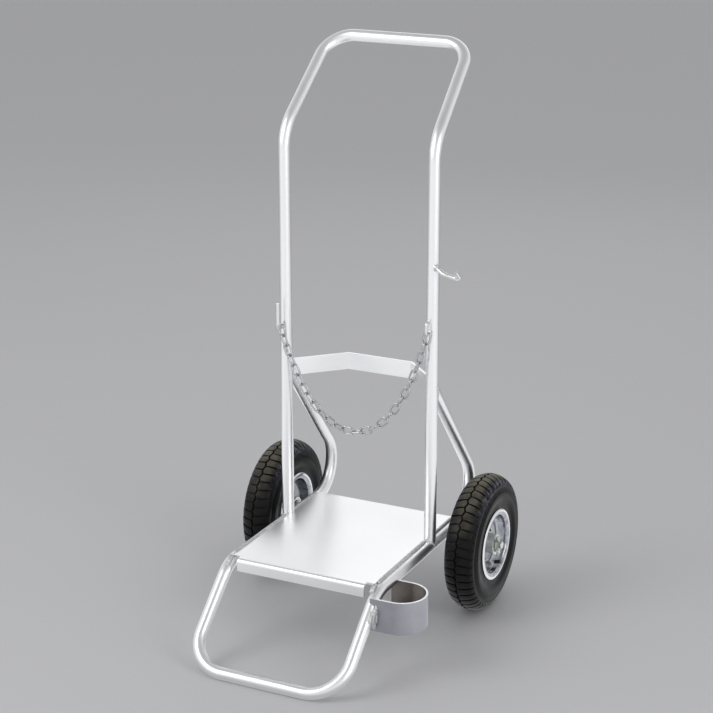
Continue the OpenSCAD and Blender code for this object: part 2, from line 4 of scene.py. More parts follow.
import bmesh
import bpy
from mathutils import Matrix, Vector


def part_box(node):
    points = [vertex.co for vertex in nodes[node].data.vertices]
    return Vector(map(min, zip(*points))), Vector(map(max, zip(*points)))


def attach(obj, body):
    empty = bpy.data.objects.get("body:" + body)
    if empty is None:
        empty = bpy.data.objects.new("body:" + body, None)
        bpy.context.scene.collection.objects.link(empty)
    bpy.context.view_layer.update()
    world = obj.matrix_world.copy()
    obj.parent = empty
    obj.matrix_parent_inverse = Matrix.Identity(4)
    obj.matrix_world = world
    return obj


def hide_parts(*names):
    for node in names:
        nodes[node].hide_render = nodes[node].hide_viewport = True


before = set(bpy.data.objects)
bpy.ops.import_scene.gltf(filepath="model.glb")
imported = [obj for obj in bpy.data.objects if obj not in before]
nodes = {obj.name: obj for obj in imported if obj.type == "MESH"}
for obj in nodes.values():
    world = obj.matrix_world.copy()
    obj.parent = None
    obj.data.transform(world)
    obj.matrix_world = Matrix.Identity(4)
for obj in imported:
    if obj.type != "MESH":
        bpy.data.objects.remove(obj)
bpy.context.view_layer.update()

# Sizes of the cart's own pieces, in metres. Heights are above the floor. Places forward and back are from the
# middle of the uprights, with the front towards -Y.
TUBE_R = 0.0127
SIDE_X = 0.166
FOOT_FRONT = 0.428
RAIL_FRONT = 0.259
RAIL_Z = 0.1682
KNEE_BACK = 0.206
KNEE_BEND = 0.075
BRACE_SLOPE = math.radians(50)
LEG_BEND = 0.076
FOOT_BEND = 0.076
HANDLE_BEND_Z = 1.012
HANDLE_TOP_Z = 1.180
HANDLE_BACK = 0.194
HANDLE_TOP_HALF = 0.157
LEAN_BEND = 0.090
CORNER_BEND = 0.060
MOUTH_TRIM = 0.003
PLATE_HALF = 0.159
CRADLE_Z = (0.488, 0.524)
CUP_MIDDLE = (0.211, -0.237)
CUP_R = 0.052
CUP_WALL = 0.004
CUP_Z = (0.1009, 0.1689)
HOOK_Z = 0.603
EYE_Z = 0.6455
HOSE_HOOK_Z = 0.773
HOSE_ROD_R = 0.0042
AXLE_BACK = 0.112
AXLE_Z = 0.146
TYRE_R = 0.146
CROWN_R = 0.042
VALVE_CAP_X = (0.2605, 0.2609)

# Points closer than this are one point
ROD_MERGE = 0.000002
WHEEL_MERGE = 0.00002

wheel_low, wheel_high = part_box("right_tyre")
WHEEL_X = (wheel_low.x + wheel_high.x) / 2
WHEEL_Y = (wheel_low.y + wheel_high.y) / 2
base_low, base_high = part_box("base_tube")
UPRIGHT_Y = base_low.y + TUBE_R + FOOT_FRONT
KNEE_REACH = KNEE_BEND * math.tan(math.pi / 2 - BRACE_SLOPE / 2)
KNEE_Y = KNEE_BACK - KNEE_BEND + KNEE_REACH
BRACE_Z = RAIL_Z + KNEE_Y * math.tan(BRACE_SLOPE)


# ---------------------------------------------------------------- small tools

def pick_none():
    bpy.ops.object.select_all(action="DESELECT")


def pick(*pieces):
    """Makes these pieces the only ones selected, and the first of them the active one."""
    pick_none()
    for piece in pieces:
        piece.select_set(True)
    bpy.context.view_layer.objects.active = pieces[0]


def settle(piece):
    """Puts a finished piece's place into its mesh."""
    pick(piece)
    bpy.ops.object.transform_apply(location=True, rotation=True, scale=True)


def joined(name, pieces):
    """Several pieces as one."""
    pick(*pieces)
    bpy.ops.object.join()
    pieces[0].name = name
    return pieces[0]


def twin(piece):
    """A second one of a piece, with its own mesh."""
    pick(piece)
    bpy.ops.object.duplicate()
    return bpy.context.object


def merge_doubles(threshold):
    """Closes the seams of the mesh in edit mode."""
    bpy.ops.mesh.select_all(action="SELECT")
    bpy.ops.mesh.remove_doubles(threshold=threshold)


def at(x, y, z):
    """A point given from the foot of the uprights' plane, in the frame."""
    return Vector((x, y + UPRIGHT_Y, z))


def mirrored(v):
    return Vector((-v.x, v.y, v.z))


def evenly(start, end, count):
    return [start + (end - start) * i / (count - 1) for i in range(count)]


def bent_path(corners, radii, step=math.radians(4)):
    """Points along a tube that goes by straight stretches and round bends through its corners."""
    points = [corners[0]]
    for before, corner, after, radius in zip(corners, corners[1:], corners[2:], radii):
        u = (corner - before).normalized()
        v = (after - corner).normalized()
        turn = u.angle(v)
        inward = (v - u * u.dot(v)).normalized()
        start = corner - u * radius * math.tan(turn / 2)
        count = max(4, round(turn / step))
        for i in range(count + 1):
            a = turn * i / count
            points.append(start + u * radius * math.sin(a) + inward * radius * (1 - math.cos(a)))
    points.append(corners[-1])
    return points


def rod_along(name, points, radius, sides, swells=None, closed=False, sharp_from=math.radians(80)):
    """A round rod along points, a closed mesh with its own UV map. swells scales its radius at each point."""
    pick_none()
    bpy.ops.curve.primitive_nurbs_path_add()
    rod = bpy.context.object
    rod.name = name
    rod.data.splines.clear()
    spline = rod.data.splines.new("POLY")
    spline.points.add(len(points) - 1)
    for i, (point, place) in enumerate(zip(spline.points, points)):
        point.co = (*place, 1)
        point.radius = swells[i] if swells else 1
    spline.use_cyclic_u = closed
    rod.data.dimensions = "3D"
    rod.data.bevel_depth = radius
    rod.data.bevel_resolution = sides // 2 - 2
    rod.data.use_fill_caps = not closed
    bpy.ops.object.convert(target="MESH")
    rod = bpy.context.object
    settle(rod)
    bpy.ops.object.mode_set(mode="EDIT")
    merge_doubles(ROD_MERGE)
    bpy.ops.object.mode_set(mode="OBJECT")
    bpy.ops.object.shade_smooth_by_angle(angle=sharp_from)
    return rod


# ---------------------------------------------------------------- finishes

AXLE_LINE = (0, UPRIGHT_Y + AXLE_BACK, AXLE_Z)
ACROSS_AXLE = (0, 1, 1)


def finish_of(name, colour, roughness, metallic=1.0, **sockets):
    """A new material, its shader and its node tree."""
    material = bpy.data.materials.new(name)
    material.use_nodes = True
    tree = material.node_tree
    shader = tree.nodes["Principled BSDF"]
    shader.inputs["Base Color"].default_value = (*colour, 1)
    shader.inputs["Roughness"].default_value = roughness
    shader.inputs["Metallic"].default_value = metallic
    for socket, value in sockets.items():
        shader.inputs[socket.replace("_", " ")].default_value = value
    return material, shader, tree


def coordinates(tree, scale=(1, 1, 1), source="Object", shift=(0, 0, 0)):
    """Object or UV coordinates, stretched by scale and then shifted."""
    where = tree.nodes.new("ShaderNodeTexCoord")
    mapping = tree.nodes.new("ShaderNodeMapping")
    mapping.inputs["Scale"].default_value = scale
    mapping.inputs["Location"].default_value = shift
    tree.links.new(where.outputs[source], mapping.inputs["Vector"])
    return mapping.outputs["Vector"]


def split(tree, shift=(0, 0, 0)):
    """The X, Y and Z of the shifted Object coordinates."""
    parts = tree.nodes.new("ShaderNodeSeparateXYZ")
    tree.links.new(coordinates(tree, shift=shift), parts.inputs["Vector"])
    return parts.outputs


def noise(tree, vector, scale, detail=4, roughness=0.55):
    node = tree.nodes.new("ShaderNodeTexNoise")
    node.inputs["Scale"].default_value = scale
    node.inputs["Detail"].default_value = detail
    node.inputs["Roughness"].default_value = roughness
    tree.links.new(vector, node.inputs["Vector"])
    return node.outputs["Fac"]


def ranged(tree, value, low, high, start=0.0, end=1.0):
    """value between low and high, mapped on start to end."""
    node = tree.nodes.new("ShaderNodeMapRange")
    node.inputs["From Min"].default_value = low
    node.inputs["From Max"].default_value = high
    node.inputs["To Min"].default_value = start
    node.inputs["To Max"].default_value = end
    tree.links.new(value, node.inputs["Value"])
    return node.outputs["Result"]


def worked_out(tree, operation, first, second=0.0):
    """One or two values put through one sum."""
    node = tree.nodes.new("ShaderNodeMath")
    node.operation = operation
    for socket, value in zip(node.inputs, (first, second)):
        if isinstance(value, (int, float)):
            socket.default_value = value
        else:
            tree.links.new(value, socket)
    return node.outputs[0]


def product(tree, first, *others):
    for other in others:
        first = worked_out(tree, "MULTIPLY", first, other)
    return first


def distance_in_plane(tree, a, b):
    """The length of the long side over two values at right angles."""
    return worked_out(tree, "SQRT", worked_out(tree, "ADD", product(tree, a, a), product(tree, b, b)))


def reach_from(tree, place, squash=(1, 1, 1)):
    """Distance from a point, or from a line through it where squash is 0 along the line and 1 across it."""
    length = tree.nodes.new("ShaderNodeVectorMath")
    length.operation = "LENGTH"
    shift = tuple(-p * s for p, s in zip(place, squash))
    tree.links.new(coordinates(tree, squash, shift=shift), length.inputs[0])
    return length.outputs["Value"]


def blended(tree, factor, first, second):
    """Two colours, each a tuple or a socket, mixed by factor."""
    node = tree.nodes.new("ShaderNodeMix")
    node.data_type = "RGBA"
    tree.links.new(factor, node.inputs["Factor"])
    for socket, colour in ((node.inputs[6], first), (node.inputs[7], second)):
        if isinstance(colour, tuple):
            socket.default_value = (*colour, 1)
        else:
            tree.links.new(colour, socket)
    return node.outputs[2]


def bumped(tree, shader, height, strength, distance):
    node = tree.nodes.new("ShaderNodeBump")
    node.inputs["Strength"].default_value = strength
    node.inputs["Distance"].default_value = distance
    tree.links.new(height, node.inputs["Height"])
    tree.links.new(node.outputs["Normal"], shader.inputs["Normal"])


def grained_metal(name, colour, roughness, stretch, source="Object", tint=0.04, spread=0.08, bump=0.00002,
                  cloud=9, metallic=1.0):
    """Bare or plated metal with a directional grain, faint cloudy patches and uneven gloss."""
    material, shader, tree = finish_of(name, colour, roughness, metallic)
    grain = noise(tree, coordinates(tree, stretch, source), 1.0, detail=3)
    patches = noise(tree, coordinates(tree), scale=cloud, detail=5)
    darker = tuple(c * (1 - tint) for c in colour)
    mixed = worked_out(tree, "ADD", grain, patches)
    tone = ranged(tree, mixed, 0.75, 1.25)
    tree.links.new(blended(tree, tone, darker, colour), shader.inputs["Base Color"])
    gloss = ranged(tree, mixed, 0.7, 1.3, roughness - spread / 2, roughness + spread / 2)
    tree.links.new(gloss, shader.inputs["Roughness"])
    bumped(tree, shader, grain, strength=0.5, distance=bump)
    return material


def cup_finish():
    """Grey satin sheet with a painted highlight along its cut upper edge and a painted dull brownish
    reflection inside.
    """
    grey, reflected_brown, reflected_taupe = (0.43, 0.435, 0.475), (0.21, 0.18, 0.155), (0.27, 0.25, 0.24)
    # bright is the colour of the painted highlight along the cup's upper edge
    bright = (0.86, 0.86, 0.87)
    dulled = tuple(c * 0.92 for c in grey)
    material, shader, tree = finish_of("cup_sheet", grey, 0.36)
    brushed = noise(tree, coordinates(tree, (40, 40, 1100)), 1.0, detail=3)
    patches = noise(tree, coordinates(tree), scale=30, detail=5)
    # the cup is half round outside its middle and straight inside it, so only X past the middle counts
    x, y = CUP_MIDDLE
    place = split(tree, (-x, -y - UPRIGHT_Y, 0))
    past = worked_out(tree, "MAXIMUM", place["X"])
    outward = distance_in_plane(tree, past, place["Y"])
    inside = ranged(tree, outward, CUP_R - 0.7 * CUP_WALL, CUP_R - 0.4 * CUP_WALL, 1.0, 0.0)
    toned = blended(tree, ranged(tree, patches, 0.35, 0.65), dulled, grey)
    # painted reflection: the inside face is coloured dull brown in place of the grey, as if it reflected the
    # floor
    painted_inside_reflection = blended(tree, ranged(tree, patches, 0.3, 0.7), reflected_brown, reflected_taupe)
    sheet = blended(tree, inside, toned, painted_inside_reflection)
    # painted highlight: a thin bright band just under the cup's upper edge
    edge = ranged(tree, split(tree)["Z"], CUP_Z[1] - 0.0006, CUP_Z[1] - 0.0002)
    tree.links.new(blended(tree, edge, sheet, bright), shader.inputs["Base Color"])
    tree.links.new(ranged(tree, brushed, 0.3, 0.7, 0.30, 0.42), shader.inputs["Roughness"])
    bumped(tree, shader, brushed, strength=0.4, distance=0.00003)
    return material


def soft_rubber_finish():
    """Smooth black rubber with a fine pebble, a cloudy bloom and uneven gloss."""
    colour, bloom = (0.010, 0.010, 0.010), (0.020, 0.020, 0.020)
    material, shader, tree = finish_of("soft_rubber", colour, 0.45, metallic=0.0, Specular_IOR_Level=0.5)
    cloud = noise(tree, coordinates(tree), scale=22, detail=6, roughness=0.6)
    pebble = noise(tree, coordinates(tree), scale=1400, detail=2)
    tree.links.new(blended(tree, ranged(tree, cloud, 0.42, 0.72), colour, bloom), shader.inputs["Base Color"])
    tree.links.new(ranged(tree, cloud, 0.3, 0.7, 0.37, 0.53), shader.inputs["Roughness"])
    bumped(tree, shader, pebble, strength=0.4, distance=0.00006)
    return material


def tyre_finish():
    """Black moulded rubber with olive-brown dust and a painted sheen on its running blocks, and a painted
    bluish highlight on the shoulder, both painted stronger high on the tyre as if lit from above.
    """
    black, dust_and_sheen_olive, painted_highlight_plum = (0.0042, 0.0044, 0.0050), (0.150, 0.140, 0.105), (0.180, 0.174, 0.210)
    material, shader, tree = finish_of("tyre_rubber", black, 0.36, metallic=0.0, Specular_IOR_Level=0.12)
    cloud = noise(tree, coordinates(tree), scale=26, detail=6, roughness=0.62)
    streaks = noise(tree, coordinates(tree), scale=130, detail=3)
    pebble = noise(tree, coordinates(tree), scale=1500, detail=2)
    reach = reach_from(tree, AXLE_LINE, ACROSS_AXLE)
    place = split(tree)
    u = worked_out(tree, "SUBTRACT", worked_out(tree, "ABSOLUTE", place["X"]), WHEEL_X)
    from_crown = distance_in_plane(tree, u, worked_out(tree, "SUBTRACT", reach, TYRE_R - CROWN_R))
    # high grows towards the top of the tyre: painted light falling from above, on the blocks' sheen and the
    # shoulder highlight
    high = ranged(tree, place["Z"], 0.20, 0.285, 0.05, 1.0)
    on_block_face = ranged(tree, from_crown, CROWN_R - 0.0010, CROWN_R - 0.0004)
    on_tread = ranged(tree, reach, 0.1375, 0.1435)
    # olive-brown dust on the block faces, with a painted sheen that grows towards the top of the tyre
    dust_and_sheen = product(tree, on_block_face, on_tread, high, ranged(tree, cloud, 0.35, 0.65, 0.35, 1.0))
    on_shoulder = ranged(tree, reach, 0.110, 0.130)
    beside_tread = ranged(tree, worked_out(tree, "ABSOLUTE", u), 0.021, 0.029)
    patchy = ranged(tree, streaks, 0.44, 0.62, 0.1, 1.0)
    # painted highlight: bluish streaks on the shoulder, strongest near the top of the tyre
    bloom = product(tree, on_shoulder, patchy, high, high, beside_tread)
    side = blended(tree, bloom, black, painted_highlight_plum)
    tree.links.new(blended(tree, dust_and_sheen, side, dust_and_sheen_olive), shader.inputs["Base Color"])
    tree.links.new(ranged(tree, cloud, 0.3, 0.7, 0.30, 0.44), shader.inputs["Roughness"])
    bumped(tree, shader, pebble, strength=0.35, distance=0.00006)
    return material


def rim_finish():
    """Plated pressed steel: bright on the rolled flange, and down in the dish a mottled painted reflection of
    a dim room, darker than the plating.
    """
    bright, painted_dim_reflection, painted_dark_reflection = (0.84, 0.845, 0.86), (0.50, 0.51, 0.54), (0.27, 0.28, 0.31)
    material, shader, tree = finish_of("bright_rim", bright, 0.16)
    mottle = noise(tree, coordinates(tree), scale=75, detail=5, roughness=0.65)
    streak = noise(tree, coordinates(tree, (30, 260, 260)), 1.0, detail=3)
    # painted reflection: the dish is coloured darker and mottled, as if it reflected a dim room
    dish = blended(tree, ranged(tree, mottle, 0.38, 0.62), painted_dark_reflection, painted_dim_reflection)
    on_flange = ranged(tree, reach_from(tree, AXLE_LINE, ACROSS_AXLE), 0.0690, 0.0715)
    tree.links.new(blended(tree, on_flange, dish, bright), shader.inputs["Base Color"])
    tree.links.new(ranged(tree, mottle, 0.3, 0.7, 0.10, 0.24), shader.inputs["Roughness"])
    bumped(tree, shader, streak, strength=0.35, distance=0.00005)
    return material


def valve_finish():
    """Plated stem with a black cap at its outer end."""
    plated, black = (0.72, 0.72, 0.70), (0.008, 0.008, 0.008)
    material, shader, tree = finish_of("valve_stem", plated, 0.28)
    threads = noise(tree, coordinates(tree, (900, 60, 60)), 1.0, detail=2)
    cap = ranged(tree, worked_out(tree, "ABSOLUTE", split(tree)["X"]), *VALVE_CAP_X)
    tree.links.new(blended(tree, cap, plated, black), shader.inputs["Base Color"])
    tree.links.new(ranged(tree, cap, 0, 1, 1, 0), shader.inputs["Metallic"])
    tree.links.new(ranged(tree, cap, 0, 1, 0.28, 0.46), shader.inputs["Roughness"])
    bumped(tree, shader, threads, strength=0.5, distance=0.00012)
    return material


drawn_tube = grained_metal("drawn_tube", (0.94, 0.945, 0.955), 0.35, (260, 6, 6), "UV", tint=0.03)
drawn_axle_tube = grained_metal("drawn_axle_tube", (0.86, 0.87, 0.88), 0.38, (8, 300, 300), tint=0.05)
rolled_plate = grained_metal("rolled_plate", (0.95, 0.955, 0.96), 0.34, (700, 12, 12), tint=0.02)
flat_bar = grained_metal("flat_bar", (0.94, 0.945, 0.955), 0.34, (12, 12, 900), tint=0.02)
cup_sheet = cup_finish()
bright_zinc = grained_metal("bright_zinc", (0.84, 0.84, 0.84), 0.26, (500, 500, 500), tint=0.12, spread=0.12,
                            cloud=60)
chain_zinc = grained_metal("chain_zinc", (0.58, 0.59, 0.61), 0.24, (600, 600, 600), tint=0.35, spread=0.14,
                           bump=0.00006, cloud=140)
dull_zinc = grained_metal("dull_zinc", (0.70, 0.73, 0.67), 0.32, (400, 400, 400), tint=0.14, spread=0.14,
                          cloud=60)
turned_steel = grained_metal("turned_steel", (0.66, 0.69, 0.65), 0.28, (1600, 8, 8), tint=0.08)
bright_rim = rim_finish()
ground_steel = grained_metal("ground_steel", (0.74, 0.74, 0.75), 0.12, (300, 300, 300), tint=0.05)
weld_metal = grained_metal("weld_metal", (0.90, 0.90, 0.91), 0.38, (420, 420, 420), tint=0.46, spread=0.2,
                           bump=0.0004, cloud=220, metallic=0.4)
tyre_rubber = tyre_finish()
soft_rubber = soft_rubber_finish()
valve_stem = valve_finish()

NODE_FINISH = {
    "handle_tube": drawn_tube, "base_tube": drawn_tube, "axle_tube": drawn_axle_tube,
    "platform_plate": rolled_plate, "cradle_bar": flat_bar,
    "rod_cup_band": cup_sheet, "rod_cup_floor": cup_sheet,
    "chain_hook": bright_zinc, "chain_eye": bright_zinc, "hose_hook": bright_zinc,
    "chain_links": chain_zinc,
    "axle": turned_steel, "axle_washers": dull_zinc, "split_pins": dull_zinc,
    "tyre": tyre_rubber, "inner_tube": soft_rubber, "valve": valve_stem,
    "outer_rim": bright_rim, "inner_rim": bright_rim, "rim_bolts": dull_zinc, "rim_nuts": dull_zinc,
    "hub": dull_zinc, "bearing_outers": ground_steel, "bearing_balls": ground_steel,
    "bearing_inners": ground_steel,
}

for name, node in nodes.items():
    finish = NODE_FINISH.get(name) or NODE_FINISH[name.split("_", 1)[1]]
    for slot in node.material_slots:
        slot.material = finish


# ---------------------------------------------------------------- frame tubes

def tube(name, corners, radii, node):
    piece = rod_along(name, bent_path(corners, radii), TUBE_R, sides=32)
    piece.data.materials.append(drawn_tube)
    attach(piece, "frame")
    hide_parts(node)


def both_sides(half):
    """The corners of a tube that is the same on both sides, from its right end to its left one."""
    return half + [mirrored(v) for v in reversed(half)]


handle_half = [
    at(SIDE_X, 0, RAIL_Z + MOUTH_TRIM),
    at(SIDE_X, 0, HANDLE_BEND_Z),
    at(HANDLE_TOP_HALF, HANDLE_BACK, HANDLE_TOP_Z),
]
tube("drawn_handle", both_sides(handle_half), [LEAN_BEND, CORNER_BEND, CORNER_BEND, LEAN_BEND], "handle_tube")

base_half = [
    at(SIDE_X, 0, BRACE_Z),
    at(SIDE_X, KNEE_Y, RAIL_Z),
    at(SIDE_X, -RAIL_FRONT, RAIL_Z),
    at(SIDE_X, -FOOT_FRONT, TUBE_R),
]
base_bends = [KNEE_BEND, LEG_BEND, FOOT_BEND]
tube("drawn_base", both_sides(base_half), base_bends + base_bends[::-1], "base_tube")

# The hose hook's rod, by the corners of its path as (x, y, z)
HOSE_HOOK_CORNERS = ((SIDE_X + 0.004, -0.0075, HOSE_HOOK_Z - 0.002), (0.194, -0.014, 0.758),
                     (0.232, -0.014, 0.750), (0.2285, -0.034, 0.7715))
HOSE_HOOK_BENDS = (0.024, 0.012)
HOSE_HOOK_SWELL = 0.10
HOSE_HOOK_TIP = 0.93


def bent_hose_hook():
    """The hook's round rod, a little fuller in its middle and trimmed at its tip."""
    path = bent_path([at(*corner) for corner in HOSE_HOOK_CORNERS], HOSE_HOOK_BENDS)
    swells = [1 + HOSE_HOOK_SWELL * math.sin(math.pi * i / (len(path) - 1)) for i in range(len(path))]
    swells[-1] = HOSE_HOOK_TIP
    hook = rod_along("drawn_hose_hook", path, HOSE_ROD_R, sides=20, swells=swells)
    hook.data.materials.append(bright_zinc)
    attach(hook, "frame")
    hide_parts("hose_hook")


bent_hose_hook()


# ---------------------------------------------------------------- weld beads

RIPPLE = 0.0024           # between the rings of a bead
HOLLOW = 0.62             # thickness between two ripples, as a share of the bead's
END_THICKNESS, END_GROWTH = 0.45, 0.2
RING_POINTS = 48
SEAM_OUT = PLATE_HALF + 0.0034
SEAM_Z = RAIL_Z + TUBE_R + 0.0010
UPRIGHT_GAP = 0.016       # from the middle of an upright to the plate's seams before and behind it
SEAM_FRONT = -RAIL_FRONT + 0.018
SEAM_BACK = 0.124
CRADLE_ENDS = ((0.16584, 0.0131), (0.1600, 0.0118))
CUP_LEG_LOW = 0.118
AXLE_SEAM_X = (0.157, 0.175)
AXLE_SEAM_Z = 0.1575
AXLE_SEAM_OUT = 0.0098

# Runs of weld that follow no straight edge, as (x, y, z) on the right side
PLATE_CORNER_RUN = ((SEAM_OUT, -0.250, SEAM_Z), (0.1612, -0.2600, 0.1800), (0.1602, -0.2680, 0.1740),
                    (0.1600, -0.2690, 0.1660))
CUP_HEAVY_RUN = ((0.1775, -0.2910, 0.151), (0.1765, -0.2960, 0.140), (0.1755, -0.2995, 0.129),
                 (0.1765, -0.2975, 0.118), (0.1780, -0.2930, 0.108))
CUP_TOE_RUN = ((0.1752, -0.2930, 0.1460), (0.1748, -0.3030, 0.1385), (0.1752, -0.3105, 0.1310),
               (0.1765, -0.3120, 0.1250))


def bead(points, radius, closed=False):
    """One rippled run of weld along points, thinner at its ends unless it is closed."""
    run = list(points) + ([points[0]] if closed else [])
    marks = [0.0]
    for a, b in zip(run, run[1:]):
        marks.append(marks[-1] + (b - a).length)
    count = max(4, round(marks[-1] / RIPPLE))
    places, swells, leg = [], [], 0
    for i in range(count + (0 if closed else 1)):
        mark = marks[-1] * i / count
        while marks[leg + 1] < mark - 1e-9:
            leg += 1
        share = (mark - marks[leg]) / (marks[leg + 1] - marks[leg])
        places.append(run[leg].lerp(run[leg + 1], share))
        end = 1 if closed else min(1, END_THICKNESS + END_GROWTH * min(i, count - i))
        wander = 1 + 0.10 * math.sin(1.3 * i) * math.sin(0.37 * i)
        swells.append(end * (1.0 if i % 2 else HOLLOW) * wander)
    return rod_along("bead", places, radius, sides=10, swells=swells, closed=closed, sharp_from=math.pi)


def weld(name, beads):
    piece = joined(name, beads)
    piece.data.materials.append(weld_metal)
    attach(piece, "frame")


def plate_seam(side):
    """Along the plate's long edge, before and behind the upright, and down its front corner."""
    front = [at(side * SEAM_OUT, y, SEAM_Z) for y in evenly(SEAM_FRONT, -UPRIGHT_GAP, 20)]
    back = [at(side * SEAM_OUT, y, SEAM_Z) for y in evenly(UPRIGHT_GAP, SEAM_BACK, 10)]
    corner = [at(side * x, y, z) for x, y, z in PLATE_CORNER_RUN]
    return [bead(front, radius=0.0046), bead(back, radius=0.0040), bead(corner, radius=0.0056)]


def foot_ring(side):
    """Round an upright's foot, where it saddles the rail."""
    ring = []
    for i in range(RING_POINTS):
        a = 2 * math.pi * i / RING_POINTS
        reach = TUBE_R + 0.0006
        saddle = RAIL_Z + TUBE_R * abs(math.sin(a)) + 0.0008
        ring.append(at(side * SIDE_X + reach * math.cos(a), reach * math.sin(a), saddle))
    return bead(ring, radius=0.0026, closed=True)


def brace_ring(side):
    """Round a brace's top, where it meets the upright."""
    along = Vector((0, math.cos(BRACE_SLOPE), -math.sin(BRACE_SLOPE)))
    over = Vector((0, math.sin(BRACE_SLOPE), math.cos(BRACE_SLOPE)))
    ring = []
    for i in range(RING_POINTS):
        a = 2 * math.pi * i / RING_POINTS
        start = over * TUBE_R * math.sin(a)
        upright_back = TUBE_R * abs(math.sin(a))
        spot = start + along * (upright_back - start.y) / along.y
        ring.append(at(side * (SIDE_X + TUBE_R * math.cos(a)), spot.y, BRACE_Z + spot.z))
    return bead(ring, radius=0.0027, closed=True)


def cradle_seams(side):
    """Up both corners of the cradle bar's end."""
    low, high = CRADLE_Z
    seams = []
    for x, y in CRADLE_ENDS:
        run = [at(side * x, y, z) for z in evenly(low + 0.001, high - 0.001, 6)]
        seams.append(bead(run, radius=0.0026))
    return seams


def cup_seams():
    """Where the cup's two legs meet the bent tube, with heavy beads on the front one."""
    top = CUP_Z[1]
    tube_side = SIDE_X + TUBE_R
    front, back = CUP_MIDDLE[1] - CUP_R, CUP_MIDDLE[1] + CUP_R
    before = [at(tube_side + 0.0012, front - 0.0008, z) for z in evenly(CUP_LEG_LOW, top - 0.012, 8)]
    behind = [at(tube_side + 0.0012, front + CUP_WALL + 0.0006, z) for z in evenly(0.126, top - 0.006, 8)]
    on_rail = [at(tube_side + 0.0002, back + 0.0010, z) for z in evenly(top - 0.018, top - 0.001, 5)]
    heavy = [at(*place) for place in CUP_HEAVY_RUN]
    toe = [at(*place) for place in CUP_TOE_RUN]
    return [bead(before, radius=0.0036), bead(behind, radius=0.0030), bead(on_rail, radius=0.0028),
            bead(heavy, radius=0.0074), bead(toe, radius=0.0064)]


def collar(centre, direction, radius, thickness):
    """A closed fillet round a rod's root."""
    u = direction.normalized()
    v = u.orthogonal().normalized()
    w = u.cross(v)
    turns = evenly(0, 2 * math.pi, 25)[:-1]
    ring = [centre + (v * math.cos(a) + w * math.sin(a)) * radius for a in turns]
    return bead(ring, radius=thickness, closed=True)


def hook_collars():
    """Round the roots of the chain hook and the hose hook, and up the back of the chain eye."""
    ahead, outward = Vector((0, -1, 0)), Vector((1, -0.35, -0.5))
    hook_root = at(-SIDE_X, -TUBE_R - 0.0002, HOOK_Z)
    eye_edge = [at(SIDE_X, -TUBE_R - 0.0012, z) for z in evenly(EYE_Z - 0.011, EYE_Z + 0.011, 8)]
    hose_hook_root = at(SIDE_X + 0.0116, -0.0086, HOSE_HOOK_Z - 0.0060)
    return [collar(hook_root, ahead, radius=0.0040, thickness=0.0026), bead(eye_edge, radius=0.0034),
            collar(hose_hook_root, outward, radius=0.0052, thickness=0.0030)]


def axle_tube_seams(side):
    """Before and behind the axle tube, where it lies under the rail."""
    seams = []
    for fore in (-1, 1):
        y = AXLE_BACK + fore * AXLE_SEAM_OUT
        run = [at(side * x, y, AXLE_SEAM_Z) for x in evenly(*AXLE_SEAM_X, 6)]
        seams.append(bead(run, radius=0.0027))
    return seams


weld("plate_welds", plate_seam(1) + plate_seam(-1))
weld("upright_foot_welds", [foot_ring(1), foot_ring(-1)])
weld("brace_welds", [brace_ring(1), brace_ring(-1)])
weld("cradle_welds", cradle_seams(1) + cradle_seams(-1))
weld("cup_welds", cup_seams())
weld("hook_welds", hook_collars())
weld("axle_tube_welds", axle_tube_seams(1) + axle_tube_seams(-1))


# ---------------------------------------------------------------- wheels

# A wheel is modelled about X with its outer side towards +X. u runs along the axle from its middle plane.
CROWN_TURN = math.radians(36)
SHOULDER_R = 0.018
SIDE_R = 0.030
BEAD_R = 0.0635
TYRE_HALF = 0.036
TREAD_WALL = 0.007
TREAD_DEPTH = 0.0034
CURL_R = 0.0675
CURL_U = 0.0275
CURL_BEND = 0.00525
RIM_SHEET = 0.0022
HUB_HOLE_R = 0.0212
OUTER_DISC_U, INNER_DISC_U = 0.00735, 0.00465

# The tread is one pitch, repeated. Its points stand on lines across it, numbered from 0.
PITCHES = 48
PITCH = 2 * math.pi / PITCHES
LINES = 5
CUTS = {1: (1, 2), -1: (3, 4)}                      # the lines between which each side's cut lies
LINE_SHARES = [0.0, 0.13, 0.25, 0.63, 0.75, 1.0]    # where in the pitch each line ends up
OPENING = {1: -1, 2: 1, 3: -1, 4: 1}                # which way the lines beside a cut part
CUT_OPENING, RIB_OPENING = 0.09, 0.01               # how far they part at the shoulder and on the ribs
SWEEP = -0.28                                       # how far a cut runs round on its way to the shoulder
SWEEP_U = 0.0317
ZIGZAG = 0.0016
ZIGZAG_SHARES = [0.33, 1, 1, -1, -1, 0.33]
GROOVE_HALF = 0.0021
GROOVE_U = 0.003                                    # past the groove's edge, before the next point
BESIDE_GROOVE_U = 0.005
BLOCKS_R = 0.1275                                   # the running blocks lie outside this radius
CUT_FLOOR_R = 0.1238                                # and the floors of their cuts outside this one
RIBS_R = (0.1115, 0.1270)
RIB_LINES = ((1, 2), (3, 4))
RIBS_PROUD = 1.007
RAISED_LINE_R = (0.1100, 0.1109)
RAISED_LINE_U = 0.035
RAISED_LINE_PROUD = 1.015
PATTERN_R = 0.107
SKIN = 0.0055                                       # more than the tread's depth, less than its wall
SIDE_WALL_U = 0.030
BLOCK_EDGE = 0.0005                                 # bevels
RIM_EDGE = 0.0009
LINE_SLACK = 0.01                                   # a share of the way to the next line


def arc_point(centre, radius, degrees):
    """A point of a wheel's section on an arc, its angle from straight outward."""
    a = math.radians(degrees)
    return centre[0] + radius * math.sin(a), centre[1] + radius * math.cos(a)


def arc(centre, radius, start, end, count):
    return [arc_point(centre, radius, degrees) for degrees in evenly(start, end, count)]


